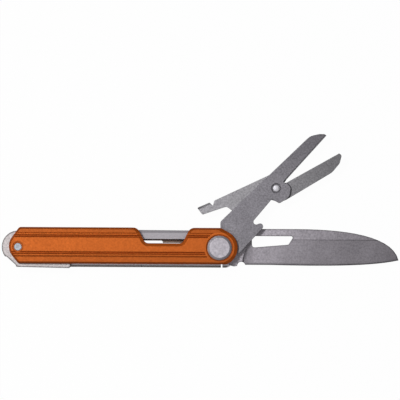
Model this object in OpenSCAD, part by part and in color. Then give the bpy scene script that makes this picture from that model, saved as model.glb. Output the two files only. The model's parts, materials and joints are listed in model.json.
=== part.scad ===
// Slim folding multi tool: a knife, spring scissors with a driver tip on their lever, and a
// butt tool with pry tip, bottle opener and hammer face, between two grooved scales.
// X runs from the butt to the open knife's tip, Y across the tool, Z through its layers.
// The origin is on the main pivot's axis, at the rear scale's outer face.
// The knife is drawn open, the scissors half folded and the butt tool folded in.

/* [Handle] */
// Distance from the main pivot to the butt rivet
rivet_span = 79.4; // [77:0.1:84]
// Width of each scale
scale_w = 14.3; // [14:0.1:15]
// Height of the scales' middle line above the pivots
scale_rise = 0.65; // [0.5:0.05:0.8]
// Thickness of each scale
scale_t = 2.2; // [2:0.1:3]
// Radius of the scales' round end at the main pivot
end_r = 7.1; // [6.9:0.1:7.3]
// How far the corner of the scales' blunt nose, before its rounding, lies past the butt rivet
nose_reach = 5.1; // [4.5:0.1:5.5]
// Width of the bevel along the scales' edges
edge_bevel = 0.7; // [0.4:0.05:0.9]
// Width of the bevel round the pivot end and the finger window
wide_bevel = 1.2; // [0.8:0.05:1.4]
// Depth of the bevels
bevel_depth = 0.6; // [0.3:0.05:0.9]

/* [Finger window] */
// Distance from the main pivot to the middle of the finger window
window_x = 22; // [20:0.5:25]
// Width of the window at its mouth
window_mouth = 20.8; // [19:0.2:23]
// Width of the window at its floor
window_floor = 14.6; // [12:0.2:16]
// Height of the window's floor above the pivots
window_y = 1.65; // [1.3:0.05:2.2]

/* [Grooves] */
// Depth of the two main grooves in each scale
groove_depth = 0.65; // [0.3:0.05:0.8]
// Width of the main grooves at the surface
groove_w = 1.1; // [0.7:0.05:1.2]
// Depth of the two fine grooves beside them
fine_depth = 0.22; // [0.1:0.02:0.4]
// Width of the fine grooves at the surface
fine_w = 0.5; // [0.3:0.05:0.6]

/* [Layers] */
// Thickness of the lock liner and its bar
lock_t = 1.2; // [1:0.1:1.5]
// Thickness of the liner between knife and scissors
liner_t = 1; // [0.8:0.1:1.5]
// Thickness of the knife
knife_t = 2.2; // [2:0.1:3]
// Thickness of each scissor half
scissor_t = 1.3; // [1.2:0.05:1.6]
// Thickness of the washers
washer_t = 0.2; // [0.15:0.05:0.4]

/* [Pivots] */
// Radius of the main pivot's shaft
pivot_r = 2.4; // [2.2:0.05:2.5]
// Radius of the main pivot's front disc
disc_r = 4.85; // [4.5:0.05:4.9]
// Radius of the disc's flat face inside its bevel
disc_face_r = 3.95; // [3.6:0.05:4.1]
// Thickness of the disc
disc_t = 0.8; // [0.6:0.05:1]
// Gap between the disc and the edge of its recess
disc_gap = 0.4; // [0.2:0.05:0.5]
// Radius of the butt rivet
rivet_r = 1.5; // [1.2:0.02:1.6]
// Radius of the stop pin between the liners
stop_r = 1; // [0.9:0.05:1.1]
// Distance from the main pivot to the stop pin
stop_reach = 5.3; // [5.2:0.05:5.5]
// Running clearance of a bore on its pin, on the radius
fit = 0.03; // [0.02:0.01:0.06]

/* [Knife] */
// Distance from the main pivot to the knife's tip
knife_reach = 70.6; // [66:0.1:72]
// Height of the knife's spine above the pivot
spine_y = 7.5; // [7:0.05:7.6]
// Height of the straight part of the cutting edge
edge_y = -6.65; // [-6.8:0.05:-6.4]
// Height of the line where the flat grind begins
grind_y = 3.45; // [2:0.05:4.5]
// Height of the tip
tip_y = -4.6; // [-5.5:0.1:-3.5]
// Length of the thumb hole
hole_len = 16.7; // [14:0.1:20]

/* [Scissors] */
// Distance from the main pivot to the scissors' rivet
arm_len = 32.4; // [31:0.1:33]
// Length of the scissor blades from their rivet
blade_len = 28.6; // [26:0.1:28.6]
// Angle of the arm above the handle line as drawn
arm_angle = 46.75; // [0:0.25:90]
// Opening angle of the lever from the closed scissors
lever_open = 18.1; // [16:0.1:18.5]
// Radius of the scissors' rivet
scissor_rivet_r = 1.4; // [1.2:0.05:1.5]
// Width of the ground bevel along the cutting edges
cut_bevel = 0.45; // [0.3:0.05:1]

/* [Butt tool] */
// Radius of the hammer end round its rivet
hammer_r = 6.35; // [5.8:0.05:6.4]
// Distance from the butt rivet to the end of the pry tip
pry_reach = 20.8; // [20:0.1:21]
// Depth below the pivots that the pry tip shows under the handle
pry_y = -8.3; // [-8.8:0.05:-7.8]
// Width of the bottle opener's mouth
mouth_w = 6.4; // [5.5:0.1:7]

/* [Hidden] */
$fn = 64;

// Steps in each rounded corner, and the overshoot of cuts past a surface
arc_steps = 6;
over = 1;

// Edges of the scales, and the butt rivet's place
scale_top = scale_rise + scale_w / 2;
scale_bottom = scale_rise - scale_w / 2;
butt_x = -rivet_span;

// Grooves, each by its distance from the scale's top or bottom edge
groove_in = 3.4;
fine_in = 2.25;
groove_up = 4.25;
fine_up = 2.95;

// The stack of layers, each by its lower face
lock_z = scale_t;
knife_z = lock_z + lock_t + washer_t;
centre_z = knife_z + knife_t + washer_t;
open_z = centre_z + liner_t;
lever_z = open_z + washer_t;
blade_gap = 0.05;
arm_z = lever_z + scissor_t + blade_gap;
front_z = arm_z + scissor_t + washer_t;
top_z = front_z + scale_t;

// Main pivot: the screw's head is flush with the rear scale
screw_head_r = 3.6;
screw_head_t = 0.9;
screw_r = 1.25;
bore_r = pivot_r + fit;
bezel_r = disc_r + disc_gap + 0.9;

// Butt rivet: a sunk head at the rear, a dimpled end in front
rivet_head_r = rivet_r + 0.75;
rivet_head_t = 0.6;
rivet_recess_r = rivet_r + 0.6;
rivet_set = 0.3;
head_gap = 0.1;

// Stop pin, and the two faces of the tang that meet it
stop_x = 0.4;
stop_y = sqrt(pow(stop_reach, 2) - pow(stop_x, 2));
stop_face_x = stop_x + stop_r + fit;
lock_face_x = stop_r + fit - stop_x;
tang_r = stop_reach - stop_r - 0.15;
washer_r = tang_r - 0.05;

// Liners: set back from the scales at the top, proud of them at the bottom
liner_setback = 0.7;
liner_r = end_r - 0.3;
centre_drop = 0.55;
lock_drop = 1.35;
nub_r = 8.3;
nub_end_x = 3.9;
pry_x = butt_x + pry_reach;
step_x = pry_x + 0.25;
lock_step_x = pry_x - 1.2;

// Slit that frees the lock bar from its liner
bar_root_x = -31;
relief_end_x = -22.4;
relief_y = [1.2, 2.7];
slit_w = 0.6;
slit_r = tang_r + 0.55;
bar_tip_x = lock_face_x - fit;
bar_gap = 0.02;
ball_at = [-2.6, -5.9];
ball_r = 0.6;

// Curves of the belly and the spine, which meet at the tip
belly = [[0.276 * knife_reach, edge_y], [0.535 * knife_reach, edge_y - 0.4],
    [0.844 * knife_reach, edge_y - 0.55], [knife_reach, tip_y]];
drop_curve = [[0.438 * knife_reach, spine_y], [0.695 * knife_reach, spine_y],
    [0.967 * knife_reach, spine_y - 2.25], [knife_reach, tip_y]];
curve_n = 14;
heel_x = 9.1;

// Spring between the halves: a coil in two facing pockets, with a leg into each half
spring_wire = 0.2;
spring_r = 2.65;
spring_turns = 1.1;
coil_step = 15;
coil_n = round(spring_turns * 360 / coil_step);
pocket_in = 2.05;
pocket_out = 3.25;
pocket_deep = 0.45;
leg_r = 4.2;
leg_arm_a = 100;
leg_lever_a = leg_arm_a + coil_n * coil_step + lever_open;
leg_room = 9;
squeeze_max = 20.5;

// Butt tool, clear of the folded scissors' tips, and the corner where its hammer face ends
scissor_reach = arm_len + blade_len;
hook_x = -scissor_reach - 1.1;
hammer_corner = [butt_x - 4.5, -3.85, 0.2];

// Unit vector along v
function unit(v) = v / norm(v);

// Unit normal on the left of the way from p to q
function left_of(p, q) = let (d = unit(q - p)) [-d[1], d[0]];

// Place of corner i of the closed outline c, counted round
function spot(c, i) = let (p = c[(i + len(c)) % len(c)]) [p[0], p[1]];

// Arc of radius r that rounds the corner q between p and s
function rounded_corner(p, q, s, r) =
    r <= 0 ? [q] :
    let (
        u = unit(p - q),
        v = unit(s - q),
        half = acos(u * v) / 2,
        turn = 180 - 2 * half,
        centre = q + unit(u + v) * r / sin(half),
        from = q + u * r / tan(half) - centre,
        to = q + v * r / tan(half) - centre
    )
    [for (k = [0:arc_steps])
        centre + (from * sin(turn * (1 - k / arc_steps)) + to * sin(turn * k / arc_steps)) / sin(turn)];

// Outline through the corners [x, y, radius], each rounded to its radius
function rounded(c) =
    [for (i = [0:len(c) - 1])
        each rounded_corner(spot(c, i - 1), spot(c, i), spot(c, i + 1), c[i][2])];

// Corners [x, y, radius, width] moved inwards, each side by the width in its first corner
function inset(c) =
    [for (i = [0:len(c) - 1])
        let (
            before = left_of(spot(c, i - 1), spot(c, i)),
            after = left_of(spot(c, i), spot(c, i + 1)),
            w1 = c[(i + len(c) - 1) % len(c)][3],
            w2 = c[i][3],
            along = before * after,
            move = along > 0.9999 ? after * w2
                : ((w1 - w2 * along) * before + (w2 - w1 * along) * after) / (1 - along * along),
            convex = before[0] * after[1] - before[1] * after[0] > 0,
            r = c[i][2]
        )
        [c[i][0] + move[0], c[i][1] + move[1],
            r <= 0 ? 0 : convex ? max(r - min(w1, w2), 0.05) : r + min(w1, w2), w2]];

// Point of the cubic curve b at u, from 0 to 1
function bezier(b, u) =
    pow(1 - u, 3) * b[0] + 3 * u * pow(1 - u, 2) * b[1] + 3 * u * u * (1 - u) * b[2] + pow(u, 3) * b[3];

// Points of an arc about the main pivot
function pivot_arc(r, a0, a1, n) =
    [for (k = [0:n]) let (a = a0 + (a1 - a0) * k / n) [r * cos(a), r * sin(a), 0]];

// Solid through a row of rings with the same number of points; a closed row has no end caps
module loft(rings, closed = false) {
    m = len(rings[0]);
    n = len(rings);
    last = closed ? n - 1 : n - 2;
    sides = [for (j = [0:last], i = [0:m - 1])
        let (a = j * m, b = ((j + 1) % n) * m, k = (i + 1) % m)
        each [[a + i, b + i, b + k], [a + i, b + k, a + k]]];
    caps = closed ? [] : [[for (i = [0:m - 1]) i], [for (i = [m - 1:-1:0]) (n - 1) * m + i]];
    polyhedron(points = [for (ring = rings) each ring], faces = concat(sides, caps));
}

// Flat plate with the outline c, from z0 to z1
module plate(c, z0, z1) {
    translate([0, 0, z0]) linear_extrude(z1 - z0) polygon(rounded(c));
}

// Plain cylinder about the point p, from z0 to z1
module post(p, r, z0, z1) {
    translate([p[0], p[1], z0]) cylinder(r = r, h = z1 - z0);
}

// Washer or spacer about the point p, from z0 to z1
module ring(p, r_out, r_in, z0, z1) {
    difference() {
        post(p, r_out, z0, z1);
        post(p, r_in, z0 - over, z1 + over);
    }
}

// Cutter along the line from p to q, that grinds a bevel into the side on its left
module grind(p, q, width, z_face, depth) {
    slope = depth / width;
    run = norm(q - p) + 2 * over;
    translate([p[0], p[1], z_face])
        rotate([0, 0, atan2(q[1] - p[1], q[0] - p[0])])
            translate([-over, 0, 0])
                rotate([90, 0, 90])
                    linear_extrude(run)
                        polygon([[width, 0], [width, over], [-over, over], [-over, -depth - over * slope]]);
}

// The same cutter for a face that looks down
module grind_below(p, q, width, z_face, depth) {
    translate([0, 0, 2 * z_face]) mirror([0, 0, 1]) grind(p, q, width, z_face, depth);
}

// ---- Scales ----

// Corners of a scale, each with its rounding and the width of the bevel that follows it
function scale_corners() =
    let (
        shoulder_x = 0.5,
        meet_a = asin(scale_bottom / end_r),
        touch_a = atan2(scale_top, shoulder_x) - acos(end_r / norm([shoulder_x, scale_top]))
    )
    concat(
        [[end_r * cos(meet_a), scale_bottom, 2.4, wide_bevel]],
        [for (p = pivot_arc(end_r, meet_a + 7, touch_a, 16)) [p[0], p[1], 0, wide_bevel]],
        [
            [shoulder_x, scale_top, 1.5, edge_bevel],
            [-window_x + window_mouth / 2, scale_top, 2.8, wide_bevel],
            [-window_x + window_floor / 2, window_y, 2, wide_bevel],
            [-window_x - window_floor / 2, window_y, 2, wide_bevel],
            [-window_x - window_mouth / 2, scale_top, 2.8, edge_bevel],
            [butt_x + 0.5, scale_top, 1.2, edge_bevel],
            [butt_x - nose_reach, 0, 6, edge_bevel],
            [butt_x + 0.2, scale_bottom, 1.2, edge_bevel]
        ]
    );

// Groove along the whole scale at height y, which stops short of the pivot's bezel
module groove(y, w, depth) {
    difference() {
        translate([butt_x - nose_reach - over, y, scale_t])
            rotate([90, 0, 90])
                linear_extrude(rivet_span + nose_reach + over)
                    polygon([[-w / 2 - over, over], [-w / 2, 0], [-w / 8, -depth], [w / 8, -depth],
                        [w / 2, 0], [w / 2 + over, over]]);
        post([0, 0], bezel_r, 0, scale_t + 2 * over);
    }
}

// Cutter of the bevel all round the upper face of a scale
module bevel_cutter() {
    c = scale_corners();
    outer = rounded(c);
    inner = rounded(inset(c));
    past = 0.3;
    loft([for (i = [0:len(outer) - 1])
        let (
            step = past * (inner[i] - outer[i]),
            p = outer[i] - step,
            q = inner[i] + step,
            edge_z = scale_t - bevel_depth,
            high = scale_t + past * bevel_depth
        )
        [
            [p[0], p[1], edge_z - past * bevel_depth],
            [outer[i][0], outer[i][1], edge_z],
            [inner[i][0], inner[i][1], scale_t],
            [q[0], q[1], high],
            [p[0], p[1], high]
        ]],
        closed = true);
}

// Plate with its inner face at z = 0 and its bevelled, grooved face at the top
module grooved_plate() {
    difference() {
        difference() {
            plate(scale_corners(), 0, scale_t);
            bevel_cutter();
        }
        for (y = [scale_top - groove_in, scale_bottom + groove_up]) groove(y, groove_w, groove_depth);
        for (y = [scale_top - fine_in, scale_bottom + fine_up]) groove(y, fine_w, fine_depth);
    }
}

module front_scale() {
    color([0.76, 0.38, 0.15])
        difference() {
            translate([0, 0, front_z]) grooved_plate();
            post([0, 0], bore_r, front_z - over, top_z + over);
            post([0, 0], disc_r + disc_gap, top_z - disc_t, top_z + over);
            post([butt_x, 0], rivet_r + fit, front_z - over, top_z + over);
            post([butt_x, 0], rivet_recess_r, top_z - rivet_head_t, top_z + over);
        }
}

module rear_scale() {
    color([0.76, 0.38, 0.15])
        difference() {
            translate([0, 0, scale_t]) mirror([0, 0, 1]) grooved_plate();
            post([0, 0], bore_r, -over, scale_t + over);
            post([0, 0], screw_head_r + head_gap, -over, screw_head_t);
            post([butt_x, 0], rivet_r + fit, -over, scale_t + over);
            post([butt_x, 0], rivet_head_r + head_gap, -over, rivet_head_t);
        }
}

// ---- Liners and lock ----

// Outline shared by both liners; from start_x on, their lower edge stands proud of the scales by drop
function liner_corners(drop, start_x) =
    let (
        top = scale_top - liner_setback,
        low = scale_bottom - drop,
        inner_low = scale_bottom + 0.35,
        nub_x = sqrt(max(pow(nub_r, 2) - pow(low, 2), 0.04))
    )
    concat(
        [
            [butt_x + 0.3, inner_low, 1],
            [start_x, inner_low, 0.3],
            [start_x, low, 0.3],
            [nub_x, low, 0.4],
            [nub_end_x, -sqrt(pow(nub_r, 2) - pow(nub_end_x, 2)), 0.5]
        ],
        pivot_arc(liner_r, -58, 80, 18),
        [
            [butt_x + 0.9, top, 1],
            [butt_x - nose_reach + 1, 0, 5]
        ]
    );

// Everything on the lock bar's side of a curve at distance r from the main pivot
function bar_corners(r, tip_x, slit_y) =
    concat(
        [
            [bar_root_x, scale_bottom - lock_drop - over, 0],
            [tip_x, scale_bottom - lock_drop - over, 0]
        ],
        pivot_arc(r, -acos(tip_x / r), -165, 12),
        [
            [-r - 3.2, slit_y, 1.5],
            [bar_root_x, slit_y, 0]
        ]
    );

module centre_liner() {
    color([0.66, 0.65, 0.68])
        difference() {
            plate(liner_corners(centre_drop, step_x), centre_z, open_z);
            plate([
                [-window_x - window_floor / 2 - 2, 0.2, 1],
                [-window_x + window_floor / 2 + 2, 0.2, 1],
                [-window_x + window_floor / 2 + 2, window_y + 1.65, 1],
                [-window_x - window_floor / 2 - 2, window_y + 1.65, 1]
            ], centre_z - over, open_z + over);
            plate([
                [bar_tip_x, -9, 0],
                [bar_tip_x + slit_w, -9, 0],
                [bar_tip_x + slit_w, scale_bottom + 0.2, 0.2],
                [bar_tip_x, scale_bottom + 0.2, 0.2]
            ], centre_z - over, open_z + over);
            post([0, 0], bore_r, centre_z - over, open_z + over);
            post([butt_x, 0], rivet_r + fit, centre_z - over, open_z + over);
            post([stop_x, stop_y], stop_r + fit, centre_z - over, open_z + over);
        }
}

module lock_liner() {
    z0 = lock_z - over;
    z1 = lock_z + lock_t + over;
    color([0.6, 0.59, 0.62])
        difference() {
            plate(liner_corners(lock_drop, lock_step_x), lock_z, lock_z + lock_t);
            translate([-bar_gap, 0, 0])
                plate(bar_corners(slit_r, bar_tip_x + slit_w, relief_y[0] + slit_w), z0, z1);
            plate([
                [bar_root_x - bar_gap, relief_y[0], 0],
                [relief_end_x, relief_y[0], 0],
                [relief_end_x, relief_y[1], 0.6],
                [bar_root_x - bar_gap, relief_y[1], 0.6]
            ], z0, z1);
            post([0, 0], bore_r, z0, z1);
            post([butt_x, 0], rivet_r + fit, z0, z1);
            post([stop_x, stop_y], stop_r + fit, z0, z1);
        }
}

module lock_bar() {
    z1 = lock_z + lock_t;
    color([0.7, 0.67, 0.67])
        difference() {
            intersection() {
                plate(liner_corners(lock_drop, lock_step_x), lock_z, z1);
                plate(bar_corners(slit_r + slit_w, bar_tip_x, relief_y[0]), lock_z - over, z1 + over);
            }
            post(ball_at, ball_r + fit, z1 - 2 * ball_r, z1 + over);
            translate([bar_root_x, 0, z1])
                rotate([90, 0, 0])
                    cylinder(r = 0.45, h = 30, center = true);
        }
}

module detent_ball() {
    color([0.8, 0.8, 0.82])
        translate([ball_at[0], ball_at[1], knife_z - 0.02 - ball_r])
            sphere(r = ball_r);
}

module stop_pin() {
    color([0.7, 0.7, 0.72]) post([stop_x, stop_y], stop_r, lock_z, open_z);
}

// ---- Pivots, washers and spacers ----

module pivot_barrel() {
    set = 0.05;
    color([0.78, 0.78, 0.8])
        difference() {
            union() {
                post([0, 0], pivot_r, screw_head_t, top_z - disc_t);
                translate([0, 0, top_z - disc_t])
                    rotate_extrude()
                        polygon([[0, 0], [disc_r, 0], [disc_r, disc_t * 0.55], [disc_face_r, disc_t - set],
                            [0, disc_t - set]]);
            }
            post([0, 0], screw_r + fit, 0, open_z);
        }
}

module pivot_screw() {
    color([0.6, 0.6, 0.62]) {
        post([0, 0], screw_head_r, 0, screw_head_t);
        post([0, 0], screw_r, screw_head_t, open_z - 1);
    }
}

module rear_rivet() {
    dimple_r = rivet_r / 2;
    edge = 0.14;
    end_z = top_z - rivet_set;
    color([0.82, 0.82, 0.84])
        translate([butt_x, 0, 0])
            rotate_extrude()
                polygon([[0, 0], [rivet_head_r, 0], [rivet_head_r, rivet_head_t], [rivet_r, rivet_head_t],
                    [rivet_r, end_z - edge], [rivet_r - edge, end_z], [dimple_r, end_z], [0, end_z - 0.3]]);
}

module butt_spacer() {
    color([0.55, 0.55, 0.58]) ring([butt_x, 0], 4, rivet_r + fit, lock_z + lock_t, centre_z);
}

module knife_washers() {
    color([0.72, 0.55, 0.3]) {
        ring([0, 0], washer_r, bore_r, lock_z + lock_t, knife_z);
        ring([0, 0], washer_r, bore_r, knife_z + knife_t, centre_z);
    }
}

module scissor_spacer() {
    color([0.6, 0.6, 0.62]) ring([0, 0], bore_r + 0.6, bore_r, open_z, arm_z - 0.02);
}

module scissor_washer() {
    color([0.72, 0.55, 0.3]) ring([0, 0], disc_r, bore_r, front_z - washer_t, front_z);
}

module opener_washers() {
    color([0.72, 0.55, 0.3]) {
        ring([butt_x, 0], rivet_r + 2, rivet_r + fit, open_z, lever_z);
        ring([butt_x, 0], rivet_r + 2, rivet_r + fit, front_z - washer_t, front_z);
    }
}

// ---- Knife ----

function knife_corners() =
    concat(
        [
            [lock_face_x, -6.3, 0.4],
            [4.3, -6.95, 0.6],
            [5.7, -7.35, 1],
            [7.1, -7.05, 0.5],
            [8.5, -5.7, 0],
            [9.95, edge_y, 0]
        ],
        [for (k = [0:curve_n]) let (p = bezier(belly, k / curve_n)) [p[0], p[1], 0]],
        [for (k = [curve_n - 1:-1:0]) let (p = bezier(drop_curve, k / curve_n)) [p[0], p[1], 0]],
        [
            [stop_face_x, spine_y, 0.8],
            [stop_face_x, 2, 0],
            [lock_face_x, -2, 0]
        ]
    );

// Thumb hole: a long slot whose lower side rises towards the tip
function thumb_hole() =
    let (x0 = 12.65, x1 = x0 + hole_len, top = 4.7)
    [
        [x0 + 0.2, 0.15, 1],
        [x1 - 2.2, 1.35, 0.8],
        [x1, top, 0.6],
        [x0, top, 1]
    ];

// Cutter of one side's flat grind and edge bevel, for a blade whose middle plane is z = 0
module flat_grind() {
    half = knife_t / 2;
    edge_half = 0.05;
    bevel_half = 0.22;
    bevel_h = 0.7;
    lead = 0.35;
    lead_deep = 0.12;
    plunge = 6.5;
    plunge_h = 10;
    straight_n = 9;
    straight = [for (k = [0:straight_n])
        [heel_x + (belly[0][0] - heel_x) * pow(k / straight_n, 2), edge_y]];
    curved = [for (k = [1:curve_n]) bezier(belly, k / curve_n)];
    stations = concat(straight, curved, [[knife_reach + over, tip_y]]);
    loft([for (s = stations)
        let (
            t = min((s[0] - heel_x) / plunge, 1),
            g = grind_y - plunge_h * (1 - sqrt(1 - pow(1 - t, 2))),
            e = s[1],
            b = min(bevel_h, (g - e) / 3),
            a = min(lead, (g - e) / 3)
        )
        [
            [s[0], e - over, edge_half],
            [s[0], e, edge_half],
            [s[0], e + b, bevel_half],
            [s[0], g - a, half - lead_deep * a / lead],
            [s[0], g, half],
            [s[0], g, half + over],
            [s[0], e - over, half + over]
        ]]);
}

module knife_blade() {
    z0 = knife_z - over;
    z1 = knife_z + knife_t + over;
    color([0.55, 0.54, 0.55])
        difference() {
            union() {
                post([0, 0], tang_r, knife_z, knife_z + knife_t);
                plate(knife_corners(), knife_z, knife_z + knife_t);
            }
            post([0, 0], bore_r, z0, z1);
            post([8.6, edge_y - 0.45], 1.6, z0, z1);
            plate(thumb_hole(), z0, z1);
            translate([-ball_at[0], -ball_at[1], knife_z - 0.2]) sphere(r = 0.45);
            translate([0, 0, knife_z + knife_t / 2]) {
                flat_grind();
                mirror([0, 0, 1]) flat_grind();
            }
        }
}

// ---- Scissors ----

// Arm in its own frame: main pivot at the origin, scissors' rivet at [arm_len, 0]
function arm_corners() =
    let (b = arm_len, t = arm_len + blade_len)
    [
        [3.6, -7.15, 0.5],
        [17, -6.95, 0],
        [18.3, -5.9, 0],
        [17.3, -4.4, 0],
        [17, -2.36, 0],
        [b - 4.3, -1.72, 0.4],
        [b - 3.5, -5.05, 0.9],
        [b + 1.1, -6.2, 3],
        [b + 4.1, -4.1, 1.6],
        [b + 4.5, -1, 0.3],
        [b + 4.9, -0.6, 0],
        [t + 0.15, -0.05, 0.2],
        [t - 0.1, 0.95, 0.6],
        [t - 1.5, 2.45, 2],
        [t - 4.6, 4.5, 5],
        [7.75, 6.87, 1.2],
        [3.4, 2.8, 0],
        [0, 0, 0],
        [2, -5.4, 0]
    ];

// Lever half in its own frame: rivet at the origin, cutting edge along +X
function lever_corners() =
    let (t = blade_len, n = 25.2, tip = 31)
    [
        [-tip + 0.5, 4.6, 0.5],
        [-23.3, 3.4, 3],
        [-20.7, 2.9, 1.2],
        [-18, -2.4, 0.8],
        [-4.2, -2.85, 1],
        [-1.4, -5.5, 1.5],
        [1.2, -5.9, 0.8],
        [t - 6.3, -5, 5],
        [t - 2, -3.3, 3],
        [t + 0.25, -0.9, 0.8],
        [t - 0.2, 0.3, 0.3],
        [4.4, 0, 0.4],
        [3.5, 4.2, 1.5],
        [1.8, 5.75, 1.5],
        [-n + 1.4, 7.28, 0.5],
        [-n, 5.7, 0.12],
        [-n - 0.6, 7.5, 0.2],
        [-tip + 0.1, 7.95, 0.2],
        [-tip, 7.4, 0.2]
    ];

// Places a piece drawn in the arm's frame
module on_arm() {
    rotate([0, 0, arm_angle]) children();
}

// Places a piece drawn in the lever's frame
module on_lever() {
    on_arm() translate([arm_len, 0, 0]) rotate([0, 0, -lever_open]) children();
}

module scissor_arm() {
    z1 = arm_z + scissor_t;
    hook = [17.1, -5.78];
    rivet_moat = 0.5;
    moat_deep = 0.8;
    color([0.53, 0.52, 0.53])
        on_arm()
            difference() {
                union() {
                    post([0, 0], 6.4, arm_z, z1);
                    post(hook, 1.2, arm_z, z1);
                    plate(arm_corners(), arm_z, z1);
                }
                post([17.35, -3.4], 1.05, arm_z - over, z1 + over);
                post([0, 0], bore_r, arm_z - over, z1 + over);
                post([arm_len, 0], scissor_rivet_r + fit, arm_z - over, z1 + over);
                post([arm_len, 0], scissor_rivet_r + rivet_moat, z1 - moat_deep, z1 + over);
                ring([arm_len, 0], pocket_out, pocket_in, arm_z - over, arm_z + pocket_deep);
                translate([arm_len, 0, 0])
                    rotate([0, 0, leg_arm_a])
                        translate([pocket_in, -spring_wire - fit, arm_z - over])
                            cube([leg_r - pocket_in + 0.1, 2 * (spring_wire + fit), over + pocket_deep]);
                grind([arm_len + 4.9, -0.6], [scissor_reach + 0.15, -0.05], cut_bevel, z1, scissor_t - 0.3);
            }
}

module scissor_lever() {
    z1 = lever_z + scissor_t;
    tip_bevel = 0.9;
    color([0.58, 0.57, 0.58])
        on_lever()
            difference() {
                plate(lever_corners(), lever_z, z1);
                post([0, 0], scissor_rivet_r + fit, lever_z - over, z1 + over);
                post([0, 0], scissor_rivet_r + 0.7 + fit, lever_z - over, lever_z + 0.45);
                ring([0, 0], pocket_out, pocket_in, z1 - pocket_deep, z1 + over);
                rotate([0, 0, leg_lever_a - squeeze_max - leg_room])
                    translate([0, 0, z1 - pocket_deep])
                        rotate_extrude(angle = squeeze_max + 2 * leg_room)
                            translate([pocket_in, 0]) square([leg_r - pocket_in + 0.15, over + pocket_deep]);
                grind_below([blade_len - 0.2, 0.3], [4.4, 0], cut_bevel, lever_z, scissor_t - 0.3);
                grind([-25.8, 7.5], [-31, 7.95], tip_bevel, z1, 0.55);
            }
}

module scissor_rivet() {
    z1 = arm_z + scissor_t;
    r = scissor_rivet_r;
    color([0.82, 0.82, 0.84])
        on_arm()
            translate([arm_len, 0, 0])
                rotate_extrude()
                    polygon([[0, lever_z + 0.02], [r + 0.7, lever_z + 0.02], [r + 0.7, lever_z + 0.43],
                        [r, lever_z + 0.43], [r, z1 - 0.2], [r * 0.87, z1 - 0.05], [r * 0.6, z1 + 0.06],
                        [0, z1 + 0.1]]);
}

// Direction of the coil's wire from its axis at step k
function coil_a(k) = leg_arm_a + k * coil_step;

module scissor_spring() {
    sides = 8;
    rise = 0.46;
    z_top = arm_z + pocket_deep - spring_wire - 0.06;
    color([0.5, 0.5, 0.52])
        on_arm()
            translate([arm_len, 0, 0]) {
                loft([for (k = [0:coil_n])
                    let (out = [cos(coil_a(k)), sin(coil_a(k)), 0])
                    [for (i = [0:sides - 1])
                        let (a = i * 360 / sides)
                        spring_r * out + [0, 0, z_top - rise * k / coil_n]
                            + spring_wire * (cos(a) * out - [0, 0, sin(a)])]]);
                for (k = [0, coil_n])
                    rotate([0, 0, coil_a(k)])
                        translate([spring_r, 0, z_top - rise * k / coil_n])
                            rotate([0, 90, 0])
                                cylinder(r = 0.95 * spring_wire, h = leg_r - spring_r);
            }
}

// ---- Butt tool ----

// Plate of the butt tool, drawn folded in
function opener_corners() =
    let (back_x = hook_x - 3 - mouth_w)
    [
        hammer_corner,
        [butt_x - 0.9, -7.05, 0.2],
        [butt_x - 0.6, pry_y + 0.4, 0.4],
        [pry_x, pry_y, 0.9],
        [pry_x, -5.7, 0.4],
        [pry_x - 3, -5.1, 0.8],
        [hook_x - 0.3, -3.9, 0.8],
        [hook_x, 1.2, 1],
        [hook_x - 1.6, 2.8, 0.6],
        [hook_x - 5, 2.5, 0.3],
        [hook_x - 4.4, 1, 0.3],
        [hook_x - 3, 0.3, 0.5],
        [hook_x - 2.9, -3.1, 1.2],
        [back_x + 2.4, -4.3, 1.5],
        [back_x, -2.6, 1],
        [back_x + 0.4, 3.4, 0.8],
        [butt_x + 3, 5.4, 0],
        [butt_x - 2, 0, 0]
    ];

module opener() {
    z1 = front_z - washer_t;
    past = hammer_r + 3;
    pry_grind = 6;
    pry_deep = 1.7;
    color([0.73, 0.71, 0.74])
        difference() {
            union() {
                intersection() {
                    post([butt_x, 0], hammer_r, lever_z, z1);
                    plate([
                        hammer_corner,
                        [butt_x + past, hammer_corner[1] - past, 0],
                        [butt_x + past, past, 0],
                        [butt_x - past, past, 0],
                        [butt_x - past, hammer_corner[1], 0]
                    ], lever_z - over, z1 + over);
                }
                plate(opener_corners(), lever_z, z1);
            }
            post([butt_x, 0], rivet_r + fit, lever_z - over, z1 + over);
            grind_below([pry_x, pry_y / 2], [pry_x, pry_y - over], pry_grind, lever_z, pry_deep);
        }
}

front_scale();
rear_scale();
centre_liner();
lock_liner();
lock_bar();
detent_ball();
stop_pin();
pivot_barrel();
pivot_screw();
rear_rivet();
butt_spacer();
knife_washers();
scissor_spacer();
scissor_washer();
opener_washers();
knife_blade();
scissor_arm();
scissor_lever();
scissor_rivet();
scissor_spring();
opener();
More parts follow.
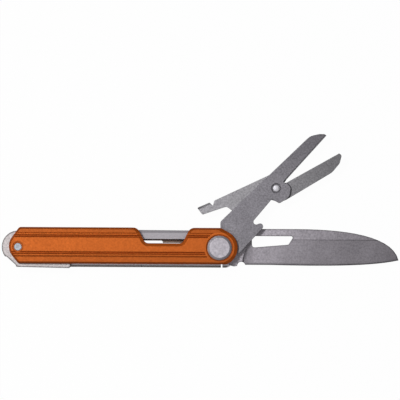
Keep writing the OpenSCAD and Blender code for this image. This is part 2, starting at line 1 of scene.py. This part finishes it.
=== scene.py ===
"""Slim folding multi tool with orange scales, seen from straight above on a white floor."""
import json
import math
import bmesh
import bpy
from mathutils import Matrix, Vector


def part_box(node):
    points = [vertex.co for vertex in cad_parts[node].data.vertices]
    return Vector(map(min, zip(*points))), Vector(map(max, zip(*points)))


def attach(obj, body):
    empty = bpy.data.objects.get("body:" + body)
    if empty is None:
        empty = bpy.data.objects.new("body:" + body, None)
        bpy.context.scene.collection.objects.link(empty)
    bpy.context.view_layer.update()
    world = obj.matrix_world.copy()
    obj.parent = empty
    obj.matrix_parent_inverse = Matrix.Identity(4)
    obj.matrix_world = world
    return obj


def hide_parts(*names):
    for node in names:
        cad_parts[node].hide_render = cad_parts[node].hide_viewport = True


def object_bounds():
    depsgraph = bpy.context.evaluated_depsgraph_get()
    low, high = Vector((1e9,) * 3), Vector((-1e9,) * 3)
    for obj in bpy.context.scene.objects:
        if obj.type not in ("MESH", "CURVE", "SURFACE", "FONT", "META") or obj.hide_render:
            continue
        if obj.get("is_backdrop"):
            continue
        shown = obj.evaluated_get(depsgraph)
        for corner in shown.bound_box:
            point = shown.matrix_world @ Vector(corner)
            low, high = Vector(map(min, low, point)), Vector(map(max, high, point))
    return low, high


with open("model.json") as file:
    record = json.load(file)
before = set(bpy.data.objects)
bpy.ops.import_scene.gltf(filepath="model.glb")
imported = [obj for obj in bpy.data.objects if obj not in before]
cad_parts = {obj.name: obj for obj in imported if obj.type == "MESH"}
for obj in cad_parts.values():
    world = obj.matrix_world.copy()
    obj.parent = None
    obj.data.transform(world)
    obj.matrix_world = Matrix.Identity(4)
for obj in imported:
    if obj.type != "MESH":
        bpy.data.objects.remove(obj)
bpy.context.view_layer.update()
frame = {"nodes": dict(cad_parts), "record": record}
nodes = frame["nodes"]
MM = 0.001


# ---- Colours ----

def srgb(r, g, b):
    """Linear colour of an 8-bit display colour."""
    def linear(c):
        c /= 255
        return c / 12.92 if c <= 0.04045 else ((c + 0.055) / 1.055) ** 2.4
    return (linear(r), linear(g), linear(b), 1.0)


def shade(color, f):
    """The colour made f times as bright, at most white."""
    return tuple(min(c * f, 1.0) for c in color[:3]) + (1.0,)


# ---- Materials ----

NEAR_SAMPLES = 8  # rays of each rounded-edge and crevice lookup


class Material:
    """A Principled material with short calls for its procedural nodes."""

    def __init__(self, name, metallic, roughness, round_edge, **sockets):
        self.material = bpy.data.materials.new(name)
        self.material.use_nodes = True
        self.tree = self.material.node_tree
        self.shader = self.tree.nodes["Principled BSDF"]
        self.shader.inputs["Metallic"].default_value = metallic
        self.shader.inputs["Roughness"].default_value = roughness
        for socket, value in sockets.items():
            self.shader.inputs[socket.replace("_", " ")].default_value = value
        self.coords = self.tree.nodes.new("ShaderNodeTexCoord").outputs["Object"]
        bevel = self.node("ShaderNodeBevel", samples=NEAR_SAMPLES)
        bevel.inputs["Radius"].default_value = round_edge
        self.normal = bevel.outputs["Normal"]

    def node(self, kind, **values):
        """New node with the given properties."""
        node = self.tree.nodes.new(kind)
        for key, value in values.items():
            setattr(node, key, value)
        return node

    def link(self, out, socket):
        self.tree.links.new(out, socket)
        return out

    def stretched(self, stretch):
        """The piece's own coordinates, scaled along each axis."""
        mapping = self.node("ShaderNodeMapping")
        mapping.inputs["Scale"].default_value = stretch
        self.link(self.coords, mapping.inputs["Vector"])
        return mapping.outputs["Vector"]

    def noise(self, size, detail=2.0, rough=0.5, stretch=(1, 1, 1), distortion=0.0):
        """Noise whose features are about size metres across."""
        node = self.node("ShaderNodeTexNoise")
        node.inputs["Scale"].default_value = 1 / size
        node.inputs["Detail"].default_value = detail
        node.inputs["Roughness"].default_value = rough
        node.inputs["Distortion"].default_value = distortion
        self.link(self.stretched(stretch), node.inputs["Vector"])
        return node.outputs["Fac"]

    def ramp(self, fac, stops):
        """Colour ramp through (position, colour or grey) stops."""
        node = self.node("ShaderNodeValToRGB")
        elements = node.color_ramp.elements
        while len(elements) < len(stops):
            elements.new(0.5)
        for element, (at, color) in zip(elements, stops):
            element.position = at
            element.color = color if isinstance(color, tuple) else (color, color, color, 1)
        self.link(fac, node.inputs["Fac"])
        return node.outputs["Color"]

    def times(self, a, b):
        """Product of two colours."""
        node = self.node("ShaderNodeMix", data_type="RGBA", blend_type="MULTIPLY")
        sockets = {socket.identifier: socket for socket in node.inputs}
        sockets["Factor_Float"].default_value = 1.0
        self.link(a, sockets["A_Color"])
        self.link(b, sockets["B_Color"])
        return next(socket for socket in node.outputs if socket.type == "RGBA")

    def edge(self, width=None):
        """1 on a flat, down to about 0.7 right at a square edge; width sets how far in it begins."""
        geometry = self.node("ShaderNodeNewGeometry")
        dot = self.node("ShaderNodeVectorMath", operation="DOT_PRODUCT")
        normal = self.normal
        if width:
            bevel = self.node("ShaderNodeBevel", samples=NEAR_SAMPLES)
            bevel.inputs["Radius"].default_value = width
            normal = bevel.outputs["Normal"]
        self.link(normal, dot.inputs[0])
        self.link(geometry.outputs["True Normal"], dot.inputs[1])
        return dot.outputs["Value"]

    def tilt(self):
        """How far a face turns away from the tool's flats: 1 on them, 0 on its upright sides."""
        normal = self.node("ShaderNodeNewGeometry").outputs["True Normal"]
        parts = self.node("ShaderNodeSeparateXYZ")
        size = self.node("ShaderNodeMath", operation="ABSOLUTE")
        self.link(normal, parts.inputs[0])
        self.link(parts.outputs["Z"], size.inputs[0])
        return size.outputs[0]

    def crevice(self, reach, alone):
        """1 in the open, towards 0 in gaps narrower than reach; the materials paint shade with it."""
        near = self.node("ShaderNodeAmbientOcclusion", samples=NEAR_SAMPLES,
                         only_local=alone)
        near.inputs["Distance"].default_value = reach
        return near.outputs["AO"]

    def along(self, axis, low, high, stops):
        """Tone along one of the piece's own axes, from low to high; used to paint light and shade along a piece."""
        parts = self.node("ShaderNodeSeparateXYZ")
        span = self.node("ShaderNodeMapRange")
        span.inputs["From Min"].default_value = low
        span.inputs["From Max"].default_value = high
        self.link(self.node("ShaderNodeTexCoord").outputs["Object"], parts.inputs[0])
        self.link(parts.outputs[axis], span.inputs["Value"])
        return self.ramp(span.outputs["Result"], stops)

    def bump(self, height, distance):
        """Relief from a height, distance metres in depth."""
        node = self.node("ShaderNodeBump")
        node.inputs["Distance"].default_value = distance
        self.link(height, node.inputs["Height"])
        self.link(self.normal, node.inputs["Normal"])
        self.normal = node.outputs["Normal"]
        self.link(self.normal, self.shader.inputs["Normal"])


def blasted(name, color, roughness=0.5, metallic=0.7, grain=0.2, mottle=0.07, pit=0.012 * MM, edge_shade=0.5,
            round_edge=0.25 * MM, reach=1.0 * MM, alone=True, gap_shade=0.12, bevel_shade=None, speck=0.6 * MM, fade=None,
            light_and_shade_along=None, **sockets):
    """Bead-blasted metal: salt-and-pepper grain over a faint cloudy tone, with painted shade in gaps and along
    edges, and, where given, painted shade on tilted faces and painted light and shade along the piece.
    """
    m = Material(name, metallic, roughness, round_edge, **sockets)
    edge = m.edge()
    fine = m.noise(speck, detail=3, rough=0.75)
    cloud = m.noise(7 * MM, detail=3)
    tone = m.ramp(fine, [(0.32, shade(color, 1 - grain)), (0.68, shade(color, 1 + grain))])
    tone = m.times(tone, m.ramp(cloud, [(0.35, 1 - mottle), (0.65, 1.0)]))
    # painted shade in gaps, grooves and recesses, darkest where near surfaces close in
    tone = m.times(tone, m.ramp(m.crevice(reach, alone), [(0.1, gap_shade), (0.85, 1.0)]))
    # painted shade along edges, darkest right at them
    tone = m.times(tone, m.ramp(edge, [(0.75, edge_shade), (0.98, 1.0)]))
    # painted shade on faces by how far they tilt from the flats
    if bevel_shade:
        tone = m.times(tone, m.ramp(m.tilt(), bevel_shade))
    # painted light and shade along the piece
    if light_and_shade_along:
        tone = m.times(tone, m.along(*light_and_shade_along))
    # painted shade over a wider band along edges
    if fade:
        width, dark = fade
        tone = m.times(tone, m.ramp(m.edge(width), [(0.8, dark), (0.99, 1.0)]))
    m.link(tone, m.shader.inputs["Base Color"])
    m.link(m.ramp(fine, [(0.3, roughness + 0.08), (0.7, roughness - 0.08)]), m.shader.inputs["Roughness"])
    m.bump(fine, pit)
    return m


def satin(name, color, roughness=0.35, metallic=0.9, lines=(1, 12, 1), line=0.05, size=0.9 * MM, edge_shade=0.6,
          round_edge=0.15 * MM, reach=1.0 * MM, alone=True, gap_shade=0.12, gap_shade_below=0.1, light_and_shade_along=None, **sockets):
    """Rolled or brushed sheet with faint lines along one direction, with painted shade in gaps and along edges, and,
    where given, painted light and shade along the piece.
    """
    m = Material(name, metallic, roughness, round_edge, **sockets)
    edge = m.edge()
    streak = m.noise(size, detail=4, rough=0.6, stretch=lines)
    tone = m.ramp(streak, [(0.3, shade(color, 1 - line)), (0.7, shade(color, 1 + line))])
    # painted shade in gaps, grooves and recesses, darkest where near surfaces close in
    tone = m.times(tone, m.ramp(m.crevice(reach, alone), [(gap_shade_below, gap_shade), (0.85, 1.0)]))
    # painted shade along edges, darkest right at them
    tone = m.times(tone, m.ramp(edge, [(0.75, edge_shade), (0.98, 1.0)]))
    # painted light and shade along the piece
    if light_and_shade_along:
        tone = m.times(tone, m.along(*light_and_shade_along))
    m.link(tone, m.shader.inputs["Base Color"])
    m.link(m.ramp(streak, [(0.3, roughness + 0.06), (0.7, roughness - 0.06)]), m.shader.inputs["Roughness"])
    m.bump(streak, 0.003 * MM)
    return m


# Painted light and shade along a piece: axis, where it begins and ends, and its stops
# painted shade on the lands beside the main grooves, darker at the lower edge, and a painted lighter band over the
# upper fine groove
LANDS_LIGHT_AND_SHADE = ("Y", -7.35 * MM, 8.65 * MM, [(0.085, 0.62), (0.11, 0.84), (0.255, 0.84), (0.28, 1.0), (0.72, 1.0),
                                      (0.745, 0.84), (0.76, 1.12), (0.818, 1.12), (0.833, 0.84)])
# painted fall-off of light: the blade darker along +X towards its tip
BLADE_LIGHT_FALLOFF = ("X", 8 * MM, 48 * MM, [(0.0, 1.0), (1.0, 0.67)])
# painted fall-off of light: the scissor arm darker along +Y
ARM_LIGHT_FALLOFF = ("Y", 24 * MM, 44 * MM, [(0.0, 1.0), (1.0, 0.74)])
# painted fall-off of light: the scissor lever darker along +X
LEVER_LIGHT_FALLOFF = ("X", 16 * MM, 46 * MM, [(0.0, 1.0), (0.3, 0.78), (1.0, 0.62)])
# painted light on the strip below the handle, against the scale's shadow, and painted shade on the top band
LINER_LIGHT_AND_SHADE = ("Y", -6.5 * MM, 6.5 * MM, [(0.05, 1.6), (0.15, 0.69), (0.935, 0.69), (0.95, 0.43)])
# painted shade with a painted orange reflection towards the finger window
LOCK_SHADE_AND_REFLECTION = ("Y", -7 * MM, 2 * MM, [(0.0, 1.0), (1.0, (0.6, 0.45, 0.38, 1))])
# the orange's tilt stops paint shade and a deeper orange on its bevels and groove walls; the knife's and disc's
# paint shade on their grinds and chamfers
orange = blasted("orange_anodised", srgb(202, 102, 38), roughness=0.5, metallic=0.5, grain=0.07, mottle=0.05,
                 reach=1.3 * MM, alone=False, gap_shade=0.85, edge_shade=0.88, fade=(1.8 * MM, 0.8), Specular_IOR_Level=0.15,
                 bevel_shade=[(0.5, 0.95), (0.66, 0.85), (0.74, (0.72, 0.62, 0.35, 1)), (0.8, (0.72, 0.62, 0.35, 1)),
                         (0.88, (0.82, 0.72, 0.4, 1)), (0.985, 1.0)], light_and_shade_along=LANDS_LIGHT_AND_SHADE)
knife_steel = blasted("knife_blasted", srgb(191, 185, 193), roughness=0.52, metallic=0.9, mottle=0.12,
                      speck=0.7 * MM, grain=0.2, round_edge=0.4 * MM, edge_shade=0.6, fade=(1.2 * MM, 0.45),
                      bevel_shade=[(0.9, 0.7), (0.96, 0.75), (0.975, 1.0)], light_and_shade_along=BLADE_LIGHT_FALLOFF)
arm_steel = blasted("arm_blasted", srgb(138, 135, 141), roughness=0.5, metallic=0.9, mottle=0.12, speck=0.7 * MM,
                    grain=0.2, bevel_shade=[(0.7, 0.88), (0.95, 1.0)], light_and_shade_along=ARM_LIGHT_FALLOFF)
lever_steel = blasted("lever_blasted", srgb(160, 158, 162), roughness=0.5, metallic=0.9, mottle=0.12, speck=0.7 * MM,
                      grain=0.2, bevel_shade=[(0.8, 0.5), (0.95, 1.0)], light_and_shade_along=LEVER_LIGHT_FALLOFF)
opener_steel = blasted("opener_blasted", srgb(177, 171, 171), roughness=0.48, grain=0.08, metallic=0.9,
                       round_edge=0.4 * MM, edge_shade=0.3, fade=(1.5 * MM, 0.18))
liner_steel = satin("liner_satin", srgb(193, 189, 195), roughness=0.5, reach=0.8 * MM, alone=False, gap_shade=1.0,
                    edge_shade=0.95, light_and_shade_along=LINER_LIGHT_AND_SHADE)
lock_steel = satin("lock_satin", srgb(192, 185, 181), roughness=0.45, reach=6 * MM, alone=False, gap_shade=0.02, gap_shade_below=0.3,
                   light_and_shade_along=LOCK_SHADE_AND_REFLECTION)
disc_steel = blasted("disc_satin", srgb(194, 189, 196), roughness=0.56, metallic=0.9, grain=0.1, speck=0.9 * MM,
                     alone=False, reach=0.35 * MM, gap_shade=0.4, edge_shade=0.8, round_edge=0.15 * MM, pit=0.006 * MM,
                     bevel_shade=[(0.9, 0.68), (0.96, 0.68), (0.98, 1.0)])
rivet_steel = satin("rivet_bright", srgb(205, 209, 217), roughness=0.68, lines=(1, 1, 1), line=0.03, alone=False,
                    reach=0.3 * MM, gap_shade=0.4, edge_shade=0.85)
peened_steel = satin("rivet_peened", srgb(236, 234, 240), roughness=0.6, lines=(1, 1, 1), line=0.03, reach=0.3 * MM,
                     gap_shade=0.5, edge_shade=1.0)
screw_steel = satin("screw_satin", srgb(150, 148, 152), lines=(1, 1, 1), alone=False)
pin_steel = satin("pin_ground", srgb(180, 180, 184), lines=(1, 1, 8))
spring_steel = satin("spring_wire", srgb(128, 128, 132), size=0.3 * MM, round_edge=0.05 * MM)
washer_bronze = satin("washer_bronze", srgb(176, 136, 84), line=0.08, round_edge=0.05 * MM)

# Finish of each material slot, and of the two nodes that differ from their slot
FINISH = {
    "scale_orange": orange, "liner_steel": liner_steel, "lock_steel": lock_steel,
    "knife_steel": knife_steel, "scissor_steel": arm_steel, "opener_steel": opener_steel,
    "disc_steel": disc_steel, "screw_steel": screw_steel, "rivet_steel": rivet_steel,
    "pin_steel": pin_steel, "spring_steel": spring_steel, "washer_bronze": washer_bronze,
}
OWN_FINISH = {"scissor_lever": lever_steel, "scissor_rivet": peened_steel}


# ---- CAD nodes: finish and softened edges ----

def smooth_below(angle):
    """Geometry nodes that shade smooth across the edges flatter than the angle."""
    group = bpy.data.node_groups.new("smooth_below", "GeometryNodeTree")
    group.interface.new_socket("Geometry", in_out="INPUT", socket_type="NodeSocketGeometry")
    group.interface.new_socket("Geometry", in_out="OUTPUT", socket_type="NodeSocketGeometry")
    start = group.nodes.new("NodeGroupInput")
    end = group.nodes.new("NodeGroupOutput")
    fold = group.nodes.new("GeometryNodeInputMeshEdgeAngle")
    flatter = group.nodes.new("FunctionNodeCompare")
    flatter.operation = "LESS_THAN"
    flatter.inputs["B"].default_value = angle
    faces = group.nodes.new("GeometryNodeSetShadeSmooth")
    faces.domain = "FACE"
    edges = group.nodes.new("GeometryNodeSetShadeSmooth")
    edges.domain = "EDGE"
    group.links.new(fold.outputs["Unsigned Angle"], flatter.inputs["A"])
    group.links.new(flatter.outputs["Result"], edges.inputs["Shade Smooth"])
    group.links.new(start.outputs[0], faces.inputs["Geometry"])
    group.links.new(faces.outputs[0], edges.inputs["Geometry"])
    group.links.new(edges.outputs[0], end.inputs[0])
    return group


CRISP_ANGLE = math.radians(12)   # shades smooth below it on pieces that keep their bevels
ROUND_ANGLE = math.radians(50)   # and on the others
SHARP_ANGLE = math.radians(32)   # an edge over it is rounded
FLAT_ANGLE = math.radians(0.5)   # faces within it are one flat
WELD_REACH = 0.001 * MM
SMOOTH = {True: smooth_below(CRISP_ANGLE), False: smooth_below(ROUND_ANGLE)}
CRISP_SLOTS = ("scale_orange", "disc_steel")

# Width of the rounded edges of each slot, in millimetres
EDGE = {"scale_orange": 0.10, "liner_steel": 0.05, "lock_steel": 0.05, "knife_steel": 0.05,
        "scissor_steel": 0.08, "opener_steel": 0.10, "disc_steel": 0.05, "screw_steel": 0.05,
        "rivet_steel": 0.04}


def soften(piece, width, crisp):
    """Rounds the sharp edges of a piece and keeps its flats flat; a crisp piece keeps its chamfers too."""
    if width:
        bevel = piece.modifiers.new("edge", "BEVEL")
        bevel.width = width * MM
        bevel.segments = 2
        bevel.limit_method = "ANGLE"
        bevel.angle_limit = SHARP_ANGLE
    smooth = piece.modifiers.new("smooth", "NODES")
    smooth.node_group = SMOOTH[crisp]
    level = piece.modifiers.new("level", "WEIGHTED_NORMAL")
    level.keep_sharp = True
    level.weight = 100


for part in frame["record"]["subparts"]:
    piece = nodes[part["node"]]
    slot = part["material_slot"]
    piece.data.materials.clear()
    piece.data.materials.append(OWN_FINISH.get(part["node"], FINISH[slot]).material)
    weld = piece.modifiers.new("weld", "WELD")
    weld.merge_threshold = WELD_REACH
    flat = piece.modifiers.new("flat", "DECIMATE")
    flat.decimate_type = "DISSOLVE"
    flat.angle_limit = FLAT_ANGLE
    soften(piece, EDGE.get(slot, 0), slot in CRISP_SLOTS)


# ---- Rear screw: a six-lobed recess in a flat head ----

LOBES = 6


def turned(name, rings, sides=96):
    """Closed solid through rings (radius, height, lobe depth), in millimetres, about the main pivot."""
    mesh = bmesh.new()
    rows = []
    for radius, height, lobe in rings:
        row = []
        for k in range(sides):
            a = 2 * math.pi * k / sides
            r = radius + lobe * math.cos(LOBES * a)
            row.append(mesh.verts.new((r * math.cos(a) * MM, r * math.sin(a) * MM, height * MM)))
        rows.append(row)
    for one, two in zip(rows, rows[1:]):
        for k in range(sides):
            n = (k + 1) % sides
            mesh.faces.new((one[k], one[n], two[n], two[k]))
    mesh.faces.new(list(reversed(rows[0])))
    mesh.faces.new(rows[-1])
    bmesh.ops.recalc_face_normals(mesh, faces=mesh.faces)
    data = bpy.data.meshes.new(name)
    mesh.to_mesh(data)
    mesh.free()
    piece = bpy.data.objects.new(name, data)
    bpy.context.collection.objects.link(piece)
    return piece


screw_low, screw_high = (v / MM for v in (Vector(c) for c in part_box("pivot_screw")))
head_r = screw_high.x
head_t = 0.9
rim = 0.18
recess_r = 1.32
lobe = 0.17
shank_r = 1.25
recess = [(0.5, 0.62, 0), (recess_r - 0.08, 0.58, lobe - 0.01), (recess_r, 0.1, lobe), (recess_r + 0.12, 0, lobe)]
head = [(2.1, 0, 0.04), (head_r - rim, 0, 0), (head_r - rim * 0.3, rim * 0.3, 0), (head_r, rim, 0),
        (head_r, head_t - 0.05, 0), (head_r - 0.05, head_t, 0)]
shank = [(shank_r, head_t, 0), (shank_r, screw_high.z - 0.15, 0), (shank_r - 0.15, screw_high.z, 0)]
screw = turned("rear_screw", recess + head + shank)
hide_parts("pivot_screw")
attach(screw, "handle")
screw.data.materials.append(screw_steel.material)
soften(screw, 0, False)


# ---- Floor, light, camera ----

low, high = (Vector(v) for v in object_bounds())
WHITE = (1, 1, 1, 1)
WHITENED = 0.975  # share of the floor's light that is plain white where it is seen
FLOOR_HALF = 3.0
FLOOR_GAP = 0.01 * MM
HORIZON = 0.3  # grey of the world at the height of the floor
ZENITH = 0.14  # and overhead

floor_mesh = bpy.data.meshes.new("floor")
corners = [(x * FLOOR_HALF, y * FLOOR_HALF, 0) for x, y in ((-1, -1), (1, -1), (1, 1), (-1, 1))]
floor_mesh.from_pydata(corners, [], [(0, 1, 2, 3)])
floor = bpy.data.objects.new("floor", floor_mesh)
floor.location.z = low.z - FLOOR_GAP
bpy.context.collection.objects.link(floor)
floor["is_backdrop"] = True
floor_finish = bpy.data.materials.new("floor_white")
floor_finish.use_nodes = True
tree = floor_finish.node_tree
paint = tree.nodes["Principled BSDF"]
paint.inputs["Base Color"].default_value = WHITE
paint.inputs["Roughness"].default_value = 0.9
paint.inputs["Specular IOR Level"].default_value = 0.0
glow = tree.nodes.new("ShaderNodeEmission")
glow.inputs["Color"].default_value = WHITE
rays = tree.nodes.new("ShaderNodeLightPath")
seen = rays.outputs["Is Camera Ray"]
for operation, other in (("ADD", "Is Glossy Ray"), ("ADD", "Is Transmission Ray"), ("MULTIPLY", WHITENED)):
    step = tree.nodes.new("ShaderNodeMath")
    step.operation = operation
    step.use_clamp = True
    tree.links.new(seen, step.inputs[0])
    if operation == "ADD":
        tree.links.new(rays.outputs[other], step.inputs[1])
    else:
        step.inputs[1].default_value = other
    seen = step.outputs[0]
blend = tree.nodes.new("ShaderNodeMixShader")
tree.links.new(seen, blend.inputs["Fac"])
tree.links.new(paint.outputs[0], blend.inputs[1])
tree.links.new(glow.outputs[0], blend.inputs[2])
tree.links.new(blend.outputs[0], tree.nodes["Material Output"].inputs["Surface"])
floor_mesh.materials.append(floor_finish)

scene = bpy.context.scene
scene.view_settings.view_transform = "Standard"
world = bpy.data.worlds.new("studio")
scene.world = world
world.use_nodes = True
sky = world.node_tree
way = sky.nodes.new("ShaderNodeTexCoord")
part_z = sky.nodes.new("ShaderNodeSeparateXYZ")
fade = sky.nodes.new("ShaderNodeValToRGB")
for stop, (at, grey) in zip(fade.color_ramp.elements, ((0.4, HORIZON), (0.95, ZENITH))):
    stop.position = at
    stop.color = (grey, grey, grey, 1)
sky.links.new(way.outputs["Generated"], part_z.inputs[0])
sky.links.new(part_z.outputs["Z"], fade.inputs["Fac"])
sky.links.new(fade.outputs["Color"], sky.nodes["Background"].inputs["Color"])


def area_light(name, at, target, width, height, radiance):
    """Rectangular lamp aimed at the target, of the same brightness whatever its size."""
    data = bpy.data.lights.new(name, "AREA")
    data.shape = "RECTANGLE"
    data.size = width
    data.size_y = height
    data.energy = radiance * math.pi * width * height
    lamp = bpy.data.objects.new(name, data)
    lamp.location = at
    lamp.rotation_euler = (Vector(target) - Vector(at)).to_track_quat("-Z", "Y").to_euler()
    lamp.visible_camera = False
    bpy.context.collection.objects.link(lamp)


middle = (low + high) / 2
KEY_PLACE = (middle.x - 0.17, middle.y + 0.11, 0.62)
KEY_SIDE = 0.085
KEY_RADIANCE = 66
SOFT_X, SOFT_Y, SOFT_Z = -0.13, -0.09, 0.13
SOFT_WIDTH, SOFT_HEIGHT = 0.32, 0.26
SOFT_RADIANCE = 0.3
area_light("key", KEY_PLACE, middle, KEY_SIDE, KEY_SIDE, KEY_RADIANCE)
area_light("soft", (SOFT_X, SOFT_Y, SOFT_Z), (SOFT_X, SOFT_Y, 0), SOFT_WIDTH, SOFT_HEIGHT, SOFT_RADIANCE)

VIEW_WIDTH = 157.6 * MM
VIEW_CENTRE = (-7.8 * MM, 18.8 * MM)
VIEW_PLANE = 8 * MM  # height at which the picture is VIEW_WIDTH wide
DISTANCE = 4.0
ROLL = math.radians(0.31)
SENSOR = 36
camera_data = bpy.data.cameras.new("camera")
camera_data.sensor_width = SENSOR
camera_data.lens = SENSOR * DISTANCE / VIEW_WIDTH
camera = bpy.data.objects.new("camera", camera_data)
camera.location = (*VIEW_CENTRE, DISTANCE + VIEW_PLANE)
camera.rotation_euler = (0, 0, ROLL)
bpy.context.collection.objects.link(camera)
scene.camera = camera
